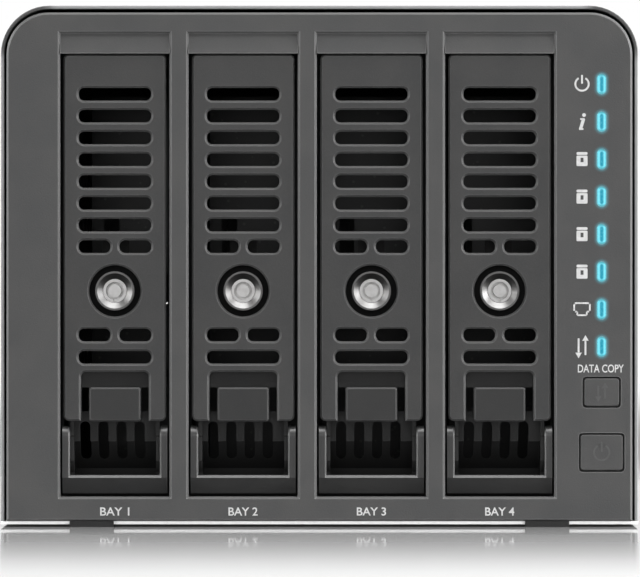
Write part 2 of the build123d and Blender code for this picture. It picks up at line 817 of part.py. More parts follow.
with BuildPart() as lock_cam:
    with BuildSketch(face_at(cam_front)):
        with Locations((0, lock_height)):
            Circle(cam_width / 2)
        with Locations((0, lock_height + (cam_reach - 2) / 2)):
            Rectangle(cam_width, cam_reach - 2)
        with Locations((0, lock_height + cam_reach - 4)):
            RectangleRounded(cam_width, 8, 1.5)
        with Locations((0, lock_height)):
            Circle(2.5 + run_gap, mode=Mode.SUBTRACT)
    extrude(amount=-cam_wall)

tray_pieces = {
    "tray_grille": tray_grille.part,
    "tray_carrier": tray_carrier.part,
    "tray_handle": tray_handle.part,
    "handle_pins": handle_pins.part,
    "release_tab": release_tab.part,
    "release_spring": release_spring.part,
    "lock_cylinder": Compound([lock_cylinder.part.solid(), lock_nut.part.solid()]),
    "lock_barrel": lock_barrel.part,
    "lock_cam": lock_cam.part,
}
for piece_name, piece in tray_pieces.items():
    for n, x in enumerate(bay_x, start=1):
        save(piece, f"{piece_name}_{n}", x)

# ---------------------------------------------------------------- indicator strip
with BuildPart() as indicator_board:
    with BuildSketch(face_at(board_front)):
        with Locations((strip_x, (indicator_bottom + indicator_top) / 2)):
            Rectangle(15.6, indicator_top - indicator_bottom)
    extrude(amount=-board)
    # Light sources, soldered to the board behind the light pipes.
    with BuildSketch(face_at(board_front)):
        with Locations(*led_spots):
            Rectangle(2.0, 3.2)
    extrude(amount=1.2)
save(indicator_board.part, "indicator_board")

# Light pipes: a lens flush with the bezel, a collar behind its wall and a stem to the board.
with BuildPart() as light_pipes:
    with BuildSketch(face_at(front)):
        with Locations(*led_spots):
            SlotOverall(led_height, led_width, rotation=90)
    extrude(amount=-(bezel_wall + 1.0))
    with BuildSketch(face_at(front + bezel_wall)):
        with Locations(*led_spots):
            SlotOverall(led_height + 1.6, led_width + 1.6, rotation=90)
    extrude(amount=-1.0)
    with BuildSketch(face_at(front + bezel_wall + 1.0)):
        with Locations(*led_spots):
            Circle(1.3)
    extrude(amount=-3.0)
save(light_pipes.part, "light_pipes")

switch_height = 1.6
for button_name, size, button_z in (
    ("power_button", power_size, power_z),
    ("copy_button", copy_size, copy_z),
):
    # Cap in its hole, a wider stop behind the bezel and a stem towards the switch.
    with BuildPart() as button:
        with BuildSketch(face_at(front)):
            with Locations((strip_x, button_z)):
                RectangleRounded(size[0] - 2 * button_gap, size[1] - 2 * button_gap, 1.0)
        extrude(amount=-(bezel_wall + 1.2))
        fillet(button.faces().sort_by(Axis.Y)[0].edges(), 0.35)
        with BuildSketch(face_at(front + bezel_wall)):
            with Locations((strip_x, button_z)):
                Rectangle(size[0] + 0.4, size[1] + 1.0)
        extrude(amount=-1.2)
        with BuildSketch(face_at(front + bezel_wall + 1.2)):
            with Locations((strip_x, button_z)):
                Circle(1.8)
        extrude(amount=-(board_front - switch_height - button_travel - 0.1 - front - bezel_wall - 1.2))
    save(button.part, button_name)

with BuildPart() as button_switches:
    with BuildSketch(face_at(board_front)):
        with Locations((strip_x, power_z), (strip_x, copy_z)):
            Rectangle(6, 6)
    extrude(amount=switch_height - 0.5)
    with BuildSketch(face_at(board_front)):
        with Locations((strip_x, power_z), (strip_x, copy_z)):
            Circle(1.7)
    extrude(amount=switch_height)
save(button_switches.part, "button_switches")

# ---------------------------------------------------------------- electronics bay
with BuildPart() as mainboard:
    board_front_y = cage_front + 50.0
    board_rear_y = panel_front - 1.0
    with BuildSketch(Plane.YZ.offset(board_x)):
        with Locations(((board_front_y + board_rear_y) / 2, (base_top + height) / 2 - 2.5)):
            Rectangle(board_rear_y - board_front_y, height - base_top - 25.0)
        with Locations(*standoff_spots):
            Circle(1.6, mode=Mode.SUBTRACT)
    extrude(amount=board)
save(mainboard.part, "mainboard")

with BuildPart() as heatsink:
    with BuildSketch(Plane.YZ.offset(board_x - 3)):
        with Locations((10, 100)):
            Rectangle(42, 42)
    extrude(amount=3)
    with BuildSketch(Plane.YZ.offset(board_x - 11)):
        with Locations((10, 100)):
            with GridLocations(4.55, 1, 10, 1):
                Rectangle(1.0, 42)
    extrude(amount=8)
save(heatsink.part, "heatsink")

port_rear = panel_rear + port_proud
with BuildPart() as network_jack:
    with BuildSketch(face_at(port_rear - 21)):
        with Locations((lan_x, lan_z)):
            Rectangle(*lan_size)
    extrude(amount=-21)
    with BuildSketch(face_at(port_rear - 15)):
        with Locations((lan_x, lan_z)):
            Rectangle(7.0, 11.8)
        with Locations((lan_x - 3.5, lan_z)):
            Rectangle(3.0, 6.4)
    extrude(amount=-15, mode=Mode.SUBTRACT)
save(network_jack.part, "network_jack")

with BuildPart() as usb_ports:
    with BuildSketch(face_at(port_rear - 17)):
        with Locations((usb_x, usb_z)):
            Rectangle(*usb_size)
    extrude(amount=-17)
    with BuildSketch(face_at(port_rear - 13)):
        with Locations((usb_x, usb_z)):
            with GridLocations(6.8, 1, 2, 1):
                Rectangle(5.2, 12.6)
                Rectangle(1.9, 10.6, mode=Mode.SUBTRACT)
    extrude(amount=-13, mode=Mode.SUBTRACT)
save(usb_ports.part, "usb_ports")

with BuildPart() as power_inlet:
    with BuildSketch(face_at(port_rear - 14)):
        with Locations((inlet_x, inlet_z)):
            Rectangle(*inlet_size)
    extrude(amount=-14)
    with BuildSketch(face_at(port_rear - 10)):
        with Locations((inlet_x, inlet_z)):
            Circle(3.1)
            Circle(1.0, mode=Mode.SUBTRACT)
    extrude(amount=-10, mode=Mode.SUBTRACT)
save(power_inlet.part, "power_inlet")

# ---------------------------------------------------------------- fan
fan_rear = panel_front
fan_front = fan_rear - fan_depth
bore_radius = fan_size / 2 - 2.5
with BuildPart() as fan_frame:
    with BuildSketch(face_at(fan_front)):
        with Locations((fan_x, fan_z)):
            RectangleRounded(fan_size, fan_size, 5)
            Circle(bore_radius, mode=Mode.SUBTRACT)
    extrude(amount=-fan_depth)
    # Motor mount and its struts at the rear.
    with BuildSketch(face_at(fan_rear - 3)):
        with Locations((fan_x, fan_z)):
            Circle(hub_radius)
            for angle in (45, 135):
                Rectangle(2 * bore_radius + 1, 4, rotation=angle)
    extrude(amount=-3)
    with BuildSketch(face_at(fan_front)):
        with Locations(*fan_screw_spots):
            Circle(screw_radius + 0.6)
    extrude(amount=-fan_depth, mode=Mode.SUBTRACT)
    with BuildSketch(face_at(fan_rear - 12)):
        with Locations((fan_x, fan_z)):
            Circle(2.0)
    extrude(amount=-9)
save(fan_frame.part, "fan_frame")

with BuildPart() as fan_rotor:
    rotor_rear = fan_rear - 4
    rotor_front = fan_front + 1.5
    with BuildSketch(face_at(rotor_front)):
        with Locations((fan_x, fan_z)):
            Circle(hub_radius - 0.5)
    extrude(amount=rotor_front - rotor_rear)
    fillet(fan_rotor.faces().sort_by(Axis.Y)[0].edges(), 1.5)
    blade_y = (rotor_front + rotor_rear) / 2
    blade_sections = (
        (hub_radius - 2, 17, 52),
        ((hub_radius + bore_radius) / 2, 20, 40),
        (bore_radius - 2.3, 22, 30),
    )
    for blade in range(blade_count):
        spoke = Plane(Location((fan_x, blade_y, fan_z)) * Rotation(0, 360 * blade / blade_count, 0))
        for radius, chord, pitch in blade_sections:
            with BuildSketch(spoke.offset(radius)):
                SlotOverall(chord, 1.6, rotation=pitch)
        loft()
    with BuildSketch(face_at(rotor_rear - 12)):
        with Locations((fan_x, fan_z)):
            Circle(2.0 + run_gap)
    extrude(amount=-12, mode=Mode.SUBTRACT)
save(fan_rotor.part, "fan_rotor")

# Wire guard outside the rear panel: rings on two crossed bars that end in screw eyes.
with BuildPart() as fan_guard:
    with BuildSketch(face_at(guard_rear)):
        with Locations((fan_x, fan_z)):
            for ring in (8, 16, 24, 32, 40):
                Circle(ring + guard_wire / 2)
                Circle(ring - guard_wire / 2, mode=Mode.SUBTRACT)
    extrude(amount=-guard_wire / 2)
    with BuildSketch(face_at(panel_rear)):
        with Locations((fan_x, fan_z)):
            for angle in (45, 135):
                Rectangle(fan_hole_spacing * 2**0.5, guard_wire, rotation=angle)
        with Locations(*fan_screw_spots):
            Circle(screw_head_radius + 0.4)
            Circle(screw_radius + 0.3, mode=Mode.SUBTRACT)
    extrude(amount=-guard_wire / 2)
save(fan_guard.part, "fan_guard")
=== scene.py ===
"""Looks of a desktop network storage enclosure: finishes, printed marks, light and camera.

Metres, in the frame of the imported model: +Z up, the front faces -Y, the origin on the table.
"""

import math

import bpy
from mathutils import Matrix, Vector


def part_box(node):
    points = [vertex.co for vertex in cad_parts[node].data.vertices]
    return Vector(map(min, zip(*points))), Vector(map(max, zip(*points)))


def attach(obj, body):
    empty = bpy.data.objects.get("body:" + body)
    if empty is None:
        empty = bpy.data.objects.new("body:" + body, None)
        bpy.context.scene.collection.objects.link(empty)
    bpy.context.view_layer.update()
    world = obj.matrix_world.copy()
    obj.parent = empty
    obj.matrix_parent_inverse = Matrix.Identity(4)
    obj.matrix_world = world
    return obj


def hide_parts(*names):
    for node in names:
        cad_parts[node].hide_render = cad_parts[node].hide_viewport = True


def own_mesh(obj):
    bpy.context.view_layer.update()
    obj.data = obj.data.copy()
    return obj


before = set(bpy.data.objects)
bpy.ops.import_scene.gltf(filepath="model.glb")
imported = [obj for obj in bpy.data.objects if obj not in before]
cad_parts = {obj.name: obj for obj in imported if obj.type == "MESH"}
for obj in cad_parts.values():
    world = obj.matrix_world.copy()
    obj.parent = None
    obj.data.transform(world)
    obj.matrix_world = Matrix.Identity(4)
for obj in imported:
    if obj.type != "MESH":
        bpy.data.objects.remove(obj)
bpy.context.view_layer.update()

MM = 0.001
BAYS = (1, 2, 3, 4)

# ---------------------------------------------------------------- places, read from the frame
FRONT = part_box("front_bezel")[0].y
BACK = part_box("rear_panel")[1].y
BEZEL_LOW, BEZEL_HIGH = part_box("front_bezel")
LENS_LOW, LENS_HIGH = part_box("light_pipes")
STRIP_X = (LENS_LOW.x + LENS_HIGH.x) / 2
LENS_COUNT = 8
LENS_COLLAR = 0.8 * MM
LENS_WIDTH = LENS_HIGH.x - LENS_LOW.x - 2 * LENS_COLLAR
LENS_LENGTH = 6.5 * MM
LENS_TOP = LENS_HIGH.z - LENS_COLLAR - LENS_LENGTH / 2
LENS_PITCH = (LENS_TOP - (LENS_LOW.z + LENS_COLLAR + LENS_LENGTH / 2)) / (LENS_COUNT - 1)
MARK_GAP = 6.6 * MM  # from the lenses' middle to the marks' middle
MARK_X = STRIP_X - MARK_GAP
INK = 0.05 * MM  # how far printed marks stand off their surface
RAISED = FRONT - 0.3 * INK  # bars that lie over others stand a little prouder
STROKE = 0.62 * MM
COVER_RADIUS = 16.5 * MM
# Radius of the painted shade round each lock.
RECESS_SHADE_RADIUS = 9.0 * MM


def middle(node):
    """Centre of a node's box at rest."""
    low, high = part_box(node)
    return (low + high) / 2


# ---------------------------------------------------------------- shader expressions
def socket_value(socket, value):
    """Links or sets one input socket."""
    if isinstance(value, Wire):
        value.tree.links.new(value.socket, socket)
    elif isinstance(value, (tuple, list, Vector)) and len(value) == 3 and socket.type == "RGBA":
        socket.default_value = (*value, 1.0)
    else:
        socket.default_value = value


class Wire:
    """A shader socket that Python expressions work on: each operator adds a Math node."""

    def __init__(self, tree, socket):
        self.tree = tree
        self.socket = socket

    def node(self, kind, settings=None, inputs=None, output=0):
        return add_node(self.tree, kind, settings, inputs, output)

    def math(self, operation, *values):
        return self.node("ShaderNodeMath", {"operation": operation}, dict(enumerate(values)))

    def __add__(self, other):
        return self.math("ADD", self, other)

    __radd__ = __add__

    def __mul__(self, other):
        return self.math("MULTIPLY", self, other)

    __rmul__ = __mul__

    def __sub__(self, other):
        return self.math("SUBTRACT", self, other)

    def __rsub__(self, other):
        return self.math("SUBTRACT", other, self)

    def __truediv__(self, other):
        return self.math("DIVIDE", self, other)

    def __pow__(self, other):
        return self.math("POWER", self, other)

    def __abs__(self):
        return self.math("ABSOLUTE", self)

    def most(self, other):
        return self.math("MAXIMUM", self, other)

    def wrap(self, pitch):
        """Distance to the nearest whole multiple of pitch, with its sign."""
        return self - self.math("ROUND", self / pitch) * pitch

    def rise(self, start, end):
        """0 before start, 1 after end, smooth between."""
        settings = {"interpolation_type": "SMOOTHSTEP"}
        return self.node("ShaderNodeMapRange", settings, {0: self, 1: start, 2: end, 3: 0.0, 4: 1.0})


def add_node(tree, kind, settings=None, inputs=None, output=0):
    """One node: its settings first, then its sockets. Returns its output as a Wire."""
    node = tree.nodes.new(kind)
    for name, value in (settings or {}).items():
        setattr(node, name, value)
    for key, value in (inputs or {}).items():
        socket_value(node.inputs[key], value)
    return Wire(tree, node.outputs[output])


class Finish:
    """A material under construction, with the patterns that several finishes share."""

    def __init__(self, name):
        self.material = bpy.data.materials.new(name)
        self.material.use_nodes = True
        self.tree = self.material.node_tree
        self.tree.nodes.clear()
        self.place = self.node("ShaderNodeTexCoord", output=3)
        split = self.tree.nodes.new("ShaderNodeSeparateXYZ")
        self.tree.links.new(self.place.socket, split.inputs[0])
        self.x, self.y, self.z = (Wire(self.tree, out) for out in split.outputs)

    def node(self, kind, settings=None, inputs=None, output=0):
        return add_node(self.tree, kind, settings, inputs, output)

    def noise(self, per_metre, detail=3.0, roughness=0.5, stretch=None):
        """Noise with that many features to the metre, stretched along an axis if asked."""
        place = self.place
        if stretch:
            place = self.node("ShaderNodeVectorMath", {"operation": "MULTIPLY"}, {0: place, 1: stretch})
        inputs = {"Vector": place, "Scale": per_metre, "Detail": detail, "Roughness": roughness}
        return self.node("ShaderNodeTexNoise", {}, inputs)

    def cells(self, per_metre):
        """Distance to the nearest of scattered points."""
        return self.node("ShaderNodeTexVoronoi", {}, {"Vector": self.place, "Scale": per_metre})

    def blend(self, factor, first, second):
        """Colour from first at 0 to second at 1."""
        inputs = {0: factor, 6: first, 7: second}
        return self.node("ShaderNodeMix", {"data_type": "RGBA"}, inputs, output=2)

    def edges(self, radius):
        """0 on flat faces and up to 1 on outside and inside edges."""
        rounded = self.node("ShaderNodeBevel", {"samples": 6}, {"Radius": radius})
        true = self.node("ShaderNodeNewGeometry", output=1)
        both = {0: rounded, 1: true}
        level = self.node("ShaderNodeVectorMath", {"operation": "DOT_PRODUCT"}, both, output=1)
        return (1.0 - level).rise(0.005, 0.12)

    def bump(self, height, strength, distance):
        inputs = {"Height": height, "Strength": strength, "Distance": distance}
        return self.node("ShaderNodeBump", {}, inputs)

    def off_lens(self, ends=1.0):
        """Distance from the middle line of the nearest lens; ends scales it past the line's ends."""
        across = abs(self.x - STRIP_X)
        along = (abs((self.z - LENS_TOP).wrap(LENS_PITCH)) - (LENS_LENGTH - LENS_WIDTH) / 2).most(0.0)
        return (across ** 2 + (along * ends) ** 2) ** 0.5

    def done(self, **sockets):
        """Adds the surface shader, with underscores in socket names standing for spaces."""
        surface = self.tree.nodes.new("ShaderNodeBsdfPrincipled")
        for name, value in sockets.items():
            socket_value(surface.inputs[name.replace("_", " ")], value)
        output = self.tree.nodes.new("ShaderNodeOutputMaterial")
        self.tree.links.new(surface.outputs[0], output.inputs[0])
        return self.material


def tone(level, warm=0.0):
    """A near-neutral colour of that brightness; warm shifts it from blue to red."""
    return (level * (1 + warm), level, level * (1 - warm))


# ---------------------------------------------------------------- finishes
def moulded_plastic(
    name, level, rough=0.5, grain=1.0, wear_and_highlight=0.8, shine=0.42, polish=0.0, glow=False, seat=None
):
    """Spark-textured moulding: fine pits, faint mottling, and edges lighter in colour, partly as wear and
    partly as painted highlight.
    """
    f = Finish(name)
    pits = f.cells(1500.0)
    fine = f.noise(2600.0, 2.0)
    mottle = f.noise(55.0, 4.0, 0.6)
    edge_wear_and_highlight = f.edges(0.5 * MM) * (0.7 + 0.4 * f.noise(240.0, 2.0))
    if glow:
        # The painted edge highlight and wear are mostly left off the bezel's outer edge, which sits
        # inside the cover.
        bezel_outer_edge = abs(f.x).rise(BEZEL_HIGH.x - 1.4 * MM, BEZEL_HIGH.x - 0.9 * MM).most(
            f.z.rise(BEZEL_HIGH.z - 1.4 * MM, BEZEL_HIGH.z - 0.9 * MM)
        )
        edge_wear_and_highlight = edge_wear_and_highlight * (1.0 - bezel_outer_edge * 0.9)
    base = f.blend(mottle.rise(0.3, 0.7), tone(level * 0.93, -0.01), tone(level * 1.07, 0.01))
    base = f.blend(fine.rise(0.35, 0.75) * 0.22, base, tone(level * 1.6))
    # Edges lighter in colour: partly rubbed wear, partly painted highlight where the chamfers would catch
    # the light.
    base = f.blend(edge_wear_and_highlight * wear_and_highlight, base, tone(min(1.0, level * 3.2)))
    if seat is not None:
        # Painted shade: a near-black ring round the lock, standing for the shade deep in the recess round
        # it.
        from_lock = ((f.x - seat.x) ** 2 + (f.z - seat.z) ** 2) ** 0.5
        recess_shade = 1.0 - from_lock.rise(RECESS_SHADE_RADIUS, RECESS_SHADE_RADIUS + 0.2 * MM)
        base = f.blend(recess_shade, base, tone(0.002))
    height = pits.rise(0.0, 0.55) * 0.7 + fine * 0.5
    sockets = {}
    if glow:
        # Light from each lens spills over the face around it.
        row_middle = LENS_TOP - LENS_PITCH * (LENS_COUNT - 1) / 2
        past_row = abs(f.z - row_middle).rise(
            LENS_PITCH * (LENS_COUNT - 0.01) / 2, LENS_PITCH * (LENS_COUNT + 0.3) / 2
        )
        spill = (1.0 - f.off_lens().rise(1.1 * MM, 3.4 * MM)) ** 2.4 * (1.0 - past_row)
        on_face = 1.0 - f.y.rise(FRONT + 1.0 * MM, FRONT + 1.6 * MM)
        sockets = {
            "Emission_Color": f.blend(spill * on_face, (0, 0, 0), (0.03, 0.55, 0.68)),
            "Emission_Strength": 0.5,
        }
    return f.done(
        Base_Color=base,
        Roughness=rough + 0.14 * mottle - 0.1 * edge_wear_and_highlight,
        Normal=f.bump(height, 0.35 * grain, 0.06 * MM),
        Specular_IOR_Level=shine,
        Coat_Weight=polish,
        Coat_Roughness=0.12,
        **sockets,
    )


def powder_coat(name, level, highlight_front_y=None, corner=None):
    """Textured powder coat on steel, with a painted highlight along the sheet's front edge on its
    straight runs, mostly left off round the corners.
    """
    f = Finish(name)
    ripple = f.noise(620.0, 3.0, 0.55)
    fleck = f.cells(2100.0)
    mottle = f.noise(26.0, 3.0, 0.6)
    base = f.blend(mottle.rise(0.3, 0.7), tone(level * 0.92), tone(level * 1.08, 0.01))
    base = f.blend((1.0 - fleck.rise(0.05, 0.32)) * 0.35, base, tone(level * 2.0))
    rough = 0.46 + 0.12 * mottle
    if highlight_front_y is not None:
        # Painted highlight: the front edge is lighter and glossier, as if catching the light, except
        # round the corners.
        rim = 1.0 - f.y.rise(highlight_front_y + 0.15 * MM, highlight_front_y + 0.45 * MM)
        in_corner = abs(f.x).rise(corner.x - 3 * MM, corner.x + 3 * MM) * f.z.rise(
            corner.z - 3 * MM, corner.z + 3 * MM
        )
        rim = rim * (1.0 - 0.9 * in_corner)
        base = f.blend(rim * 0.85, base, tone(0.32, -0.01))
        rough = rough - 0.14 * rim
    height = ripple * 0.8 + fleck.rise(0.0, 0.5) * 0.5
    return f.done(
        Base_Color=base, Roughness=rough, Normal=f.bump(height, 0.32, 0.09 * MM), Specular_IOR_Level=0.45
    )


def zinc_sheet(name, level, painted_edge_y):
    """Zinc-plated sheet: soft spangle, rolling marks, duller patches, and a painted highlight along its
    front edge, made near-white and matt.
    """
    f = Finish(name)
    spangle = f.cells(210.0)
    rolled = f.noise(900.0, 2.0, stretch=(1.0, 0.04, 1.0))
    patch = f.noise(34.0, 3.0)
    base = f.blend(spangle.rise(0.1, 0.9), tone(level * 0.9, -0.012), tone(level * 1.05, -0.006))
    base = f.blend(patch.rise(0.55, 0.8) * 0.35, base, tone(level * 0.72, 0.01))
    # Painted highlight: the front edge is near-white and mostly non-metallic, standing for the bright
    # line it catches.
    painted_edge_highlight = 1.0 - f.y.rise(painted_edge_y + 0.3 * MM, painted_edge_y + 0.8 * MM)
    base = f.blend(painted_edge_highlight, base, tone(0.93))
    return f.done(
        Base_Color=base,
        Metallic=1.0 - painted_edge_highlight * 0.9,
        Roughness=0.3 + 0.16 * spangle + 0.1 * rolled,
        Normal=f.bump(rolled, 0.12, 0.03 * MM),
    )


def plated_metal(name, level, rough, turned_at=None):
    """Nickel or chrome plate with handling marks, or with turning marks round an axis along Y."""
    f = Finish(name)
    if turned_at is not None:
        radius = ((f.x - turned_at.x) ** 2 + (f.z - turned_at.z) ** 2) ** 0.5
        inputs = {"W": radius, "Scale": 5200.0, "Detail": 2.0}
        rings = f.node("ShaderNodeTexNoise", {"noise_dimensions": "1D"}, inputs)
    else:
        rings = f.noise(1800.0, 2.0, stretch=(1.0, 0.12, 1.0))
    smear = f.noise(420.0, 3.0)
    base = f.blend(smear.rise(0.35, 0.75) * 0.6, tone(level, 0.008), tone(level * 0.8, 0.02))
    return f.done(
        Base_Color=base,
        Metallic=1.0,
        Roughness=rough + 0.12 * rings + 0.1 * smear,
        Normal=f.bump(rings, 0.1, 0.02 * MM),
    )


def rubber_foot(name, level):
    """Matt rubber with fine grain and a little dust."""
    f = Finish(name)
    grain = f.noise(1900.0, 3.0)
    dust = f.noise(160.0, 3.0).rise(0.5, 0.8)
    base = f.blend(dust * 0.3, tone(level), tone(level * 2.6, 0.03))
    return f.done(
        Base_Color=base,
        Roughness=0.68 + 0.15 * grain,
        Normal=f.bump(grain, 0.3, 0.05 * MM),
        Specular_IOR_Level=0.35,
    )


def circuit_board(name, mask, runs_colour, pad_share=1.0):
    """Solder mask over copper runs, with tinned pads."""
    f = Finish(name)
    shifted = f.node("ShaderNodeVectorMath", {"operation": "ADD"}, {0: f.place, 1: (0.013, 0.007, 0.011)})
    runs = f.node(
        "ShaderNodeTexBrick",
        {"offset": 0.37, "offset_frequency": 2},
        {"Vector": shifted, "Scale": 340.0, "Mortar Size": 0.045, "Mortar Smooth": 0.2,
         "Brick Width": 1.7, "Row Height": 0.42},
        output=1,
    )
    pads = (1.0 - f.cells(260.0).rise(0.12, 0.16)) * pad_share
    mottle = f.noise(90.0, 3.0)
    base = f.blend(mottle.rise(0.3, 0.7), Vector(mask) * 0.8, mask)
    base = f.blend(runs * 0.6, base, runs_colour)
    base = f.blend(pads, base, (0.62, 0.6, 0.52))
    return f.done(
        Base_Color=base,
        Roughness=0.3 + 0.12 * mottle,
        Metallic=pads * 0.9,
        Coat_Weight=0.6,
        Coat_Roughness=0.2,
        Normal=f.bump(runs + pads, 0.25, 0.04 * MM),
    )


def lit_lens(name):
    """Frosted lens lit from behind: deep in its middle and brighter round its rim."""
    f = Finish(name)
    away = f.off_lens(ends=0.75)
    rim = away.rise(0.3 * MM, 0.85 * MM)
    edge = away.rise(1.1 * MM, 1.6 * MM)
    cloud = f.noise(1300.0, 2.0)
    glow = f.blend(rim, (0.0, 0.3, 0.43), (0.2, 0.82, 0.97))
    glow = f.blend(edge * 0.75, glow, (0.03, 0.3, 0.38))
    end = abs((f.z - LENS_TOP).wrap(LENS_PITCH)).rise(LENS_LENGTH / 2 - 1.0 * MM, LENS_LENGTH / 2)
    glow = f.blend(end * 0.75, glow, (0.02, 0.26, 0.32))
    return f.done(
        Base_Color=f.blend(cloud, (0.01, 0.04, 0.05), (0.015, 0.06, 0.07)),
        Roughness=0.22 + 0.1 * cloud,
        Emission_Color=glow,
        Emission_Strength=0.95,
        Specular_IOR_Level=0.5,
    )


def printed_ink(name, level):
    """Pad-printed ink, a little uneven."""
    f = Finish(name)
    patchy = f.noise(900.0, 3.0)
    base = f.blend(patchy.rise(0.35, 0.7), tone(level * 0.88), tone(level))
    return f.done(
        Base_Color=base,
        Roughness=0.5 + 0.1 * patchy,
        Normal=f.bump(patchy, 0.15, 0.02 * MM),
    )


def natural_aluminium(name):
    """Drawn aluminium with fine lines along its fins."""
    f = Finish(name)
    drawn = f.noise(1500.0, 2.0, stretch=(1.0, 1.0, 0.05))
    base = f.blend(drawn.rise(0.3, 0.7), tone(0.7), tone(0.78, -0.01))
    return f.done(
        Base_Color=base,
        Metallic=1.0,
        Roughness=0.32 + 0.2 * drawn,
        Normal=f.bump(drawn, 0.12, 0.03 * MM),
    )


def turned_brass(name):
    """Brass with turning marks round an axis along X."""
    f = Finish(name)
    rings = f.noise(1700.0, 2.0, stretch=(1.0, 0.1, 0.1))
    base = f.blend(rings.rise(0.3, 0.7), (0.56, 0.42, 0.17), (0.68, 0.53, 0.24))
    return f.done(
        Base_Color=base,
        Metallic=1.0,
        Roughness=0.26 + 0.18 * rings,
        Normal=f.bump(rings, 0.12, 0.03 * MM),
    )


def paint(node, material):
    """Gives a CAD node one finish all over."""
    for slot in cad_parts[node].material_slots:
        slot.material = material


bezel_plastic = moulded_plastic("bezel_plastic", 0.061, wear_and_highlight=1.0, glow=True)
button_plastic = moulded_plastic("button_plastic", 0.06, rough=0.46)
grille_plastic = moulded_plastic("grille_plastic", 0.042, rough=0.46)
tab_plastic = moulded_plastic("tab_plastic", 0.029, rough=0.4, grain=0.6)
handle_plastic = moulded_plastic(
    "handle_plastic", 0.032, rough=0.32, grain=0.3, wear_and_highlight=0.3, shine=0.6, polish=0.25
)
black_plastic = moulded_plastic("black_plastic", 0.012, rough=0.44, wear_and_highlight=0.2)
cover_low, cover_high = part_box("cover")
cover_coat = powder_coat(
    "cover_coat", 0.05, cover_low.y, cover_high - Vector((COVER_RADIUS, 0, COVER_RADIUS))
)
panel_coat = powder_coat("panel_coat", 0.045)
edge_zinc = zinc_sheet("edge_zinc", 0.6, painted_edge_y=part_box("base_plate")[0].y)
screw_nickel = plated_metal("screw_nickel", 0.55, 0.26)
spring_steel = plated_metal("spring_steel", 0.5, 0.3)
port_nickel = plated_metal("port_nickel", 0.62, 0.24)
guard_chrome = plated_metal("guard_chrome", 0.7, 0.16)
foot_rubber = rubber_foot("foot_rubber", 0.018)
board_mask = circuit_board("board_mask", (0.012, 0.11, 0.052), (0.03, 0.21, 0.1))
black_mask = circuit_board(
    "black_mask", (0.01, 0.011, 0.012), (0.016, 0.017, 0.018), pad_share=0.04
)
cage_coat = powder_coat("cage_coat", 0.012)
dark_oxide = plated_metal("dark_oxide", 0.045, 0.4)
lens_glow = lit_lens("lens_glow")
white_ink = printed_ink("white_ink", 0.62)
# Painted highlight: the keys' embossed marks are coloured a lighter grey for the light their relief
# catches.
emboss_highlight_grey = printed_ink("emboss_highlight_grey", 0.085)
fin_aluminium = natural_aluminium("fin_aluminium")
brass = turned_brass("brass")

finishes = {
    "cover": cover_coat,
    "front_bezel": bezel_plastic,
    "rear_panel": panel_coat,
    "base_plate": edge_zinc,
    "feet": foot_rubber,
    "screws": screw_nickel,
    "drive_cage": cage_coat,
    "board_standoffs": brass,
    "bay_runners": black_plastic,
    "backplane_board": black_mask,
    "drive_connectors": black_plastic,
    "indicator_board": board_mask,
    "light_pipes": lens_glow,
    "power_button": button_plastic,
    "copy_button": button_plastic,
    "button_switches": black_plastic,
    "mainboard": board_mask,
    "heatsink": fin_aluminium,
    "network_jack": port_nickel,
    "usb_ports": port_nickel,
    "power_inlet": black_plastic,
    "fan_frame": black_plastic,
    "fan_rotor": black_plastic,
    "fan_guard": guard_chrome,
}
for bay in BAYS:
    lock = middle(f"lock_cylinder_{bay}")
    lock_face = plated_metal(f"lock_face_{bay}", 0.24, 0.28, turned_at=lock)
    barrel_face = plated_metal(f"barrel_face_{bay}", 0.9, 0.24, turned_at=lock)
    finishes |= {
        f"tray_grille_{bay}": grille_plastic,
        f"tray_carrier_{bay}": moulded_plastic(
            f"carrier_plastic_{bay}", 0.024, wear_and_highlight=0.15, shine=0.3, seat=lock
        ),
        f"tray_handle_{bay}": handle_plastic,
        f"handle_pins_{bay}": dark_oxide,
        f"release_tab_{bay}": tab_plastic,
        f"release_spring_{bay}": spring_steel,
        f"lock_cylinder_{bay}": lock_face,
        f"lock_barrel_{bay}": barrel_face,
        f"lock_cam_{bay}": dark_oxide,
    }
for node, finish in finishes.items():
    paint(node, finish)


# ---------------------------------------------------------------- printed and embossed marks
UPRIGHT = (math.pi / 2, 0.0, 0.0)


def start_piece():
    """Leaves whatever is selected, so that operators act on the new piece alone."""
    if bpy.context.object and bpy.context.object.mode != "OBJECT":
        bpy.ops.object.mode_set(mode="OBJECT")
    bpy.ops.object.select_all(action="DESELECT")


def settle(piece, name, body, material):
    """Applies the piece's place to its mesh and hands it to its body."""
    piece.name = name
    piece.data.name = name
    piece.data.materials.clear()
    piece.data.materials.append(material)
    start_piece()
    piece.select_set(True)
    bpy.context.view_layer.objects.active = piece
    bpy.ops.object.transform_apply(location=True, rotation=True, scale=True)
    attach(piece, body)
    return piece


def thicken():
    """In edit mode with the flat mark selected: gives it its thickness towards the viewer."""
    bpy.ops.mesh.select_all(action="SELECT")
    bpy.ops.mesh.extrude_region_move(TRANSFORM_OT_translate={"value": (0, -2 * INK, 0)})
    bpy.ops.mesh.select_all(action="SELECT")
    bpy.ops.mesh.normals_make_consistent(inside=False)
    bpy.ops.object.mode_set(mode="OBJECT")


def bar(x, z, wide, high, corner=0.18 * MM, y=FRONT, turn=0.0):
    """A rounded bar lying on the face at y."""
    start_piece()
    bpy.ops.mesh.primitive_plane_add(size=1, location=(x, y + INK, z), rotation=(math.pi / 2, turn, 0))
    piece = bpy.context.object
    piece.scale = (wide, high, 1)
    bpy.ops.object.transform_apply(location=False, rotation=False, scale=True)
    bpy.ops.object.mode_set(mode="EDIT")
    bpy.ops.mesh.bevel(offset=min(corner, wide * 0.49, high * 0.49), segments=4, affect="VERTICES")
    thicken()
    return piece


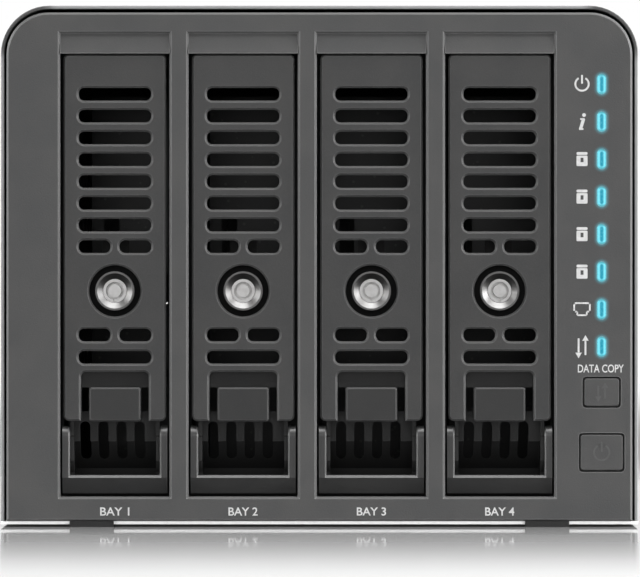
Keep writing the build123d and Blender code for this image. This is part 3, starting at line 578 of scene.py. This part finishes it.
def open_ring(x, z, outer, inner, gap, sides=48):
    """A flat ring, open at its top over the angle gap."""
    start_piece()
    bpy.ops.mesh.primitive_circle_add(
        vertices=sides, radius=outer, fill_type="NOTHING", location=(x, FRONT + INK, z), rotation=UPRIGHT
    )
    piece = bpy.context.object
    bpy.ops.object.mode_set(mode="EDIT")
    bpy.ops.mesh.select_all(action="SELECT")
    bpy.ops.mesh.extrude_edges_move()
    share = inner / outer
    bpy.ops.transform.resize(value=(share, share, share))
    bpy.ops.object.mode_set(mode="OBJECT")
    for face in piece.data.polygons:
        centre = face.center
        face.select = abs(math.atan2(centre.x, centre.y)) < gap / 2
    for edge in piece.data.edges:
        edge.select = False
    for vertex in piece.data.vertices:
        vertex.select = False
    for face in piece.data.polygons:
        if face.select:
            for corner in face.vertices:
                piece.data.vertices[corner].select = True
    bpy.ops.object.mode_set(mode="EDIT")
    bpy.ops.mesh.select_mode(type="FACE")
    bpy.ops.mesh.delete(type="ONLY_FACE")
    bpy.ops.mesh.select_mode(type="VERT")
    thicken()
    return piece


def disc(x, z, radius, sides=32, turn=0.0):
    """A flat disc, or an arrow head with three sides."""
    start_piece()
    bpy.ops.mesh.primitive_circle_add(
        vertices=sides, radius=radius, fill_type="NGON", location=(x, FRONT + INK, z),
        rotation=(math.pi / 2, turn, 0),
    )
    piece = bpy.context.object
    bpy.ops.object.mode_set(mode="EDIT")
    thicken()
    return piece


def joined(parts):
    """Several flat shapes made one piece."""
    start_piece()
    for part in parts:
        part.select_set(True)
    bpy.context.view_layer.objects.active = parts[0]
    bpy.ops.object.join()
    return bpy.context.object


def lettering(words, x, z, wide, high, weight=0.012):
    """Words fitted to a width and a height, centred on x and z."""
    start_piece()
    bpy.ops.object.text_add(location=(x, FRONT, z), rotation=UPRIGHT)
    text = bpy.context.object
    text.data.body = words
    text.data.align_x = "CENTER"
    text.data.align_y = "CENTER"
    text.data.extrude = INK
    text.data.size = high / 0.7
    text.data.offset = weight * text.data.size
    text.data.resolution_u = 4
    bpy.ops.object.convert(target="MESH")
    piece = bpy.context.object
    bpy.ops.object.transform_apply(location=True, rotation=True, scale=True)
    corners = [vertex.co for vertex in piece.data.vertices]
    low = Vector([min(c[axis] for c in corners) for axis in range(3)])
    high_corner = Vector([max(c[axis] for c in corners) for axis in range(3)])
    centre = (low + high_corner) / 2
    size = high_corner - low
    piece.location = (x - centre.x, 0, z - centre.z)
    bpy.ops.object.transform_apply(location=True, rotation=False, scale=False)
    bpy.ops.object.mode_set(mode="EDIT")
    bpy.ops.mesh.select_all(action="SELECT")
    bpy.ops.transform.resize(value=(wide / size.x, 1, high / size.z), center_override=(x, FRONT, z))
    bpy.ops.object.mode_set(mode="OBJECT")
    return piece


def power_mark(x, z, radius):
    """Ring open at the top, with a bar through the opening."""
    return joined([
        open_ring(x, z, radius, radius - STROKE, gap=math.radians(62)),
        bar(x, z + radius * 0.62, STROKE, radius * 1.15),
    ])


def drive_mark(x, z):
    """A drive seen from its side: a cap, a line and a body with a hub."""
    wide, high, cap, line = 3.7 * MM, 4.7 * MM, 0.95 * MM, 0.24 * MM
    body_high = high - cap - line
    body_z = z - high / 2 + body_high / 2
    wall, head, foot = 1.35 * MM, 0.7 * MM, 1.3 * MM
    cap_corner, wall_corner = 0.4 * MM, 0.35 * MM
    return joined([
        bar(x, z + high / 2 - cap / 2, wide, cap, cap_corner),
        bar(x - wide / 2 + wall / 2, body_z, wall, body_high, wall_corner),
        bar(x + wide / 2 - wall / 2, body_z, wall, body_high, wall_corner),
        bar(x, body_z + body_high / 2 - head / 2, wide - wall, head, y=RAISED),
        bar(x, body_z - body_high / 2 + foot / 2, wide - wall, foot, y=RAISED),
    ])


def status_mark(x, z, high):
    """A leaning letter i: a dot over a stem with a head and a foot."""
    lean = math.radians(17)
    dot, stem, stem_wide = 0.62 * MM, 3.9 * MM, 1.05 * MM
    serif, serif_wide = 0.55 * MM, 1.5 * MM
    stem_z = z - (high - stem) / 2
    return joined([
        disc(x + high * 0.4 * math.tan(lean), z + high / 2 - dot, dot),
        bar(x, stem_z, stem_wide, stem, turn=lean),
        bar(x + 0.1 * MM, stem_z + (stem - serif) / 2, serif_wide, serif, y=RAISED),
        bar(x - 0.25 * MM, stem_z - (stem - serif) / 2, serif_wide, serif, y=RAISED),
    ])


def network_mark(x, z):
    """Outline of a network socket with its latch step."""
    wide, high, line = 5.8 * MM, 4.6 * MM, 0.55 * MM
    step, latch = 1.3 * MM, 1.2 * MM
    shoulder_z = z - high / 2 + latch
    parts = [bar(x, z + high / 2 - line / 2, wide, line)]
    for side in (-1, 1):
        upper = z + high / 2 - shoulder_z
        parts += [
            bar(x + side * (wide - line) / 2, shoulder_z + upper / 2, line, upper),
            bar(x + side * (wide / 2 - step / 2), shoulder_z + line / 2, step, line),
            bar(x + side * (wide / 2 - step), shoulder_z - latch / 2 + line / 2, line, latch),
        ]
    parts.append(bar(x, z - high / 2 + line / 2, wide - 2 * step, line))
    return joined(parts)


def transfer_mark(x, z, high):
    """Two arrows side by side, the left one down and the right one up."""
    apart, head = 1.15 * MM, 1.25 * MM
    parts = []
    for way, turn in ((-1, math.pi), (1, 0)):
        column = x + way * apart
        parts += [
            bar(column, z - way * head * 0.35, STROKE, high - head * 1.5),
            disc(column, z + way * (high / 2 - head * 0.55), head, sides=3, turn=turn),
        ]
    return joined(parts)


def lens_z(number):
    """Height of a lens, counted from 0 at the top."""
    return LENS_TOP - number * LENS_PITCH


def front_marks():
    """Marks beside the lenses, from the top down."""
    marks = {
        "mark_power": power_mark(MARK_X, lens_z(0), 2.55 * MM),
        "mark_status": status_mark(MARK_X, lens_z(1), 5.6 * MM),
        "mark_network": network_mark(MARK_X, lens_z(6)),
        "mark_transfer": transfer_mark(MARK_X, lens_z(7), 6.6 * MM),
    }
    for bay in BAYS:
        marks[f"mark_drive_{bay}"] = drive_mark(MARK_X, lens_z(bay + 1))
    copy = middle("copy_button")
    above_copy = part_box("copy_button")[1].z + 2.2 * MM
    label_x = STRIP_X - 0.3 * MM
    marks["label_copy"] = lettering("DATA COPY", label_x, above_copy, wide=15.4 * MM, high=2.7 * MM)
    for bay in BAYS:
        tray = middle(f"tray_grille_{bay}")
        label_z = (BEZEL_LOW.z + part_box(f"tray_handle_{bay}")[0].z) / 2 - 1.35 * MM
        words = f"BAY {bay}"
        marks[f"label_bay_{bay}"] = lettering(words, tray.x, label_z, wide=9.8 * MM, high=2.75 * MM)
    for name, piece in marks.items():
        settle(piece, name, "enclosure", white_ink)
    # The raised marks on the keys are coloured lighter grey than the keys: painted highlight for the
    # light on their relief.
    arrows = transfer_mark(copy.x, copy.z, 5.4 * MM)
    settle(arrows, "emboss_copy", "copy_key", emboss_highlight_grey)
    power = middle("power_button")
    open_circle = power_mark(power.x, power.z, 2.9 * MM)
    settle(open_circle, "emboss_power", "power_key", emboss_highlight_grey)


front_marks()


# ---------------------------------------------------------------- the tabs' springs
def release_coil(bay):
    """The tab's spring, as the frame has it, merged into a mesh of its own and carried by the tray; it
    keeps its rest length here.
    """
    node = f"release_spring_{bay}"
    start_piece()
    coil = bpy.data.objects.new(f"release_coil_{bay}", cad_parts[node].data.copy())
    bpy.context.collection.objects.link(coil)
    coil.select_set(True)
    bpy.context.view_layer.objects.active = coil
    bpy.ops.object.mode_set(mode="EDIT")
    bpy.ops.mesh.select_all(action="SELECT")
    bpy.ops.mesh.remove_doubles(threshold=0.002 * MM)
    bpy.ops.object.mode_set(mode="OBJECT")
    bpy.ops.object.shade_smooth_by_angle(angle=math.radians(40))
    settle(coil, coil.name, f"tray_{bay}", spring_steel)
    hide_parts(node)
    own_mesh(coil)


for bay in BAYS:
    release_coil(bay)


# ---------------------------------------------------------------- stage, light and camera
def studio_floor():
    """A wide pale floor, glossy where the object stands on it and dull further out, darkened by painted
    shade in front of the object.
    """
    start_piece()
    bpy.ops.mesh.primitive_plane_add(size=24, location=(0, 0, -0.02 * MM))
    floor = bpy.context.object
    floor.name = "studio_floor"
    f = Finish("floor_gloss")
    ahead = 1.0 - (FRONT - f.y).rise(-0.06, 0.32)
    aside = 1.0 - abs(f.x).rise(0.25, 0.6)
    behind = 1.0 - (f.y - BACK).rise(0.05, 0.4)
    glossy = f.node("ShaderNodeBsdfAnisotropic", {}, {"Color": (0.95, 0.95, 0.95), "Roughness": 0.05})
    # Painted shade: the floor's colour is darker close in front of the object and paler further out.
    painted_floor_shade = f.blend((FRONT - f.y).rise(0.08, 0.34), (0.25, 0.25, 0.25), (0.37, 0.37, 0.37))
    plain = f.node("ShaderNodeBsdfDiffuse", {}, {"Color": painted_floor_shade})
    surface = f.node("ShaderNodeMixShader", {}, {0: ahead * aside * behind * 0.74, 1: plain, 2: glossy})
    # In the object's own polished faces the floor in front is a dim tone, as under a dark room.
    rearward = (f.y - FRONT).rise(0.06, 0.3)
    dim = f.node("ShaderNodeEmission", {}, {"Color": (1, 1, 1), "Strength": rearward * 0.25 + 0.03})
    in_reflection = f.node("ShaderNodeLightPath", output=3)
    surface = f.node("ShaderNodeMixShader", {}, {0: in_reflection, 1: surface, 2: dim})
    # Well away from the object the floor runs into the white behind it.
    outward = ((f.x ** 2 + f.y ** 2) ** 0.5).rise(0.5, 2.2)
    haze = f.node("ShaderNodeEmission", {}, {"Color": (1, 1, 1), "Strength": 1.0})
    seen = f.node("ShaderNodeLightPath")
    surface = f.node("ShaderNodeMixShader", {}, {0: outward * seen, 1: surface, 2: haze})
    output = f.tree.nodes.new("ShaderNodeOutputMaterial")
    f.tree.links.new(surface.socket, output.inputs[0])
    floor.data.materials.append(f.material)


def soft_light(name, place, aim, size, power):
    """A rectangular white soft box."""
    data = bpy.data.lights.new(name, "AREA")
    data.shape = "RECTANGLE"
    data.size, data.size_y = size
    data.energy = power
    lamp = bpy.data.objects.new(name, data)
    bpy.context.collection.objects.link(lamp)
    lamp.location = place
    lamp.rotation_euler = (Vector(aim) - Vector(place)).to_track_quat("-Z", "Y").to_euler()
    lamp.visible_camera = False


def studio_world(seen, light, backdrop):
    """White behind the object as it is seen, with a softer light all round."""
    world = bpy.data.worlds.new("studio")
    world.use_nodes = True
    tree = world.node_tree
    tree.nodes.clear()
    way = add_node(tree, "ShaderNodeTexCoord", output=0)
    split = tree.nodes.new("ShaderNodeSeparateXYZ")
    tree.links.new(way.socket, split.inputs[0])
    rearward = Wire(tree, split.outputs[1]).rise(0.25, 0.75)
    lit = rearward * (backdrop - light) + light
    camera_ray = add_node(tree, "ShaderNodeLightPath")
    strength = camera_ray * (seen - lit) + lit
    background = add_node(tree, "ShaderNodeBackground", {}, {"Color": (1, 1, 1), "Strength": strength})
    output = tree.nodes.new("ShaderNodeOutputWorld")
    tree.links.new(background.socket, output.inputs[0])
    bpy.context.scene.world = world


def front_camera():
    """Straight on, from far enough away to look nearly flat."""
    distance = 1.9
    seen_width = 214.7 * MM
    eye_height = 88.0 * MM
    middle_height = 80.0 * MM
    aside = 0.2 * MM
    data = bpy.data.cameras.new("front_camera")
    data.sensor_width = 36.0
    data.lens = data.sensor_width * distance / seen_width
    data.shift_y = (middle_height - eye_height) / seen_width
    data.clip_end = 60
    camera = bpy.data.objects.new("front_camera", data)
    bpy.context.collection.objects.link(camera)
    camera.location = (aside, FRONT - distance, eye_height)
    camera.rotation_euler = UPRIGHT
    bpy.context.scene.camera = camera


studio_floor()
studio_world(seen=1.0, light=0.32, backdrop=1.0)
soft_light("overhead", place=(0.3, -0.42, 1.3), aim=(0.3, -0.42, 0), size=(1.5, 1.1), power=30)
soft_light("left_side", place=(-1.3, -0.15, 0.4), aim=(0, -0.1, 0.1), size=(0.8, 1.0), power=28)
soft_light("right_side", place=(1.3, -0.2, 0.4), aim=(0, -0.2, 0.1), size=(0.9, 1.0), power=40)
soft_light("front_fill", place=(-0.15, -3.0, 0.45), aim=(0, 0, 0.1), size=(1.8, 1.3), power=6.5)
front_camera()
bpy.context.scene.view_settings.view_transform = "Standard"
bpy.context.scene.view_settings.look = "None"
